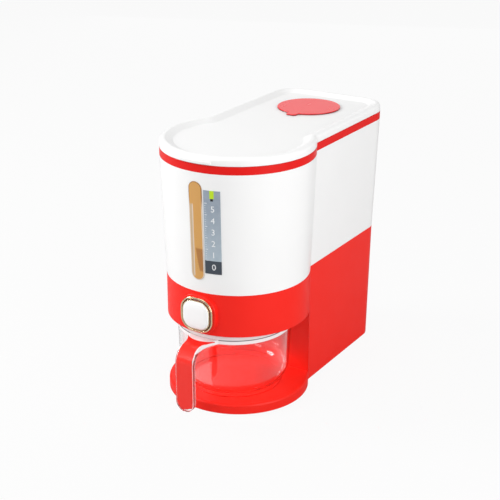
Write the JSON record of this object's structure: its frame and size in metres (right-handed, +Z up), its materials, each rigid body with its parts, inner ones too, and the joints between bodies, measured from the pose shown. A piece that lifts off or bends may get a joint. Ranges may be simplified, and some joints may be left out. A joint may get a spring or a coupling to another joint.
{
  "type": "rice storage box",
  "caption": "Free-standing dry-grain dispenser with a round-nosed hopper, lift-off lid, sight window, push-button slotted gate and a pull-out clear measuring cup.",
  "frame": {"origin": "centre of the bounding box's footprint, on the surface that the feet stand on", "axes": "+Z up, -Y towards the cup and button, +X to the right as the user faces the button"},
  "size_m": [0.193, 0.3818, 0.336],
  "materials": {
    "red_plastic": "satin moulded plastic",
    "white_plastic": "satin white moulded plastic",
    "clear_plastic": "clear polished plastic",
    "amber_plastic": "tinted clear plastic",
    "label_film": "printed film",
    "gold_trim": "bright gold plating",
    "grey_plastic": "plain moulded plastic",
    "steel": "zinc-plated steel",
    "rubber": "matt rubber",
    "silicone": "soft translucent silicone"
  },
  "bodies": {
    "housing": {"base_body": "red_plastic", "bottom_plate": "grey_plastic", "bottom_screws": "steel", "rubber_feet": "rubber", "hopper_shell": "white_plastic", "window_pane": "amber_plastic", "label_plate": "label_film", "hopper_floor": "grey_plastic", "outlet_chute": "grey_plastic", "chute_screws": "steel", "button_bezel": "gold_trim", "button_guide": "grey_plastic", "return_spring": "steel", "top_collar": "red_plastic"},
    "lid": {"lid": "white_plastic", "lid_seal": "silicone", "desiccant_holder": "white_plastic"},
    "cap": {"desiccant_cap": "red_plastic"},
    "cup": {"measuring_cup": "clear_plastic", "handle_inlay": "red_plastic"},
    "button": {"button_cap": "white_plastic", "button_ring": "gold_trim", "button_stem": "grey_plastic", "gate_plate": "grey_plastic"}
  },
  "joints": [
    {"name": "lid_lift", "type": "slide", "parent": "housing", "child": "lid", "axis": [0, 0, 1], "range_m": [0, 0.12]},
    {"name": "cap_lift", "type": "slide", "parent": "lid", "child": "cap", "axis": [0, 0, 1], "range_m": [0, 0.04]},
    {"name": "cup_slide", "type": "slide", "parent": "housing", "child": "cup", "axis": [0, -1, 0], "range_m": [0, 0.22]},
    {"name": "button_press", "type": "slide", "parent": "housing", "child": "button", "axis": [0, 1, 0], "range_m": [0, 0.008], "stiffness_N_per_m": 450, "deforming": ["return_spring"]}
  ]
}
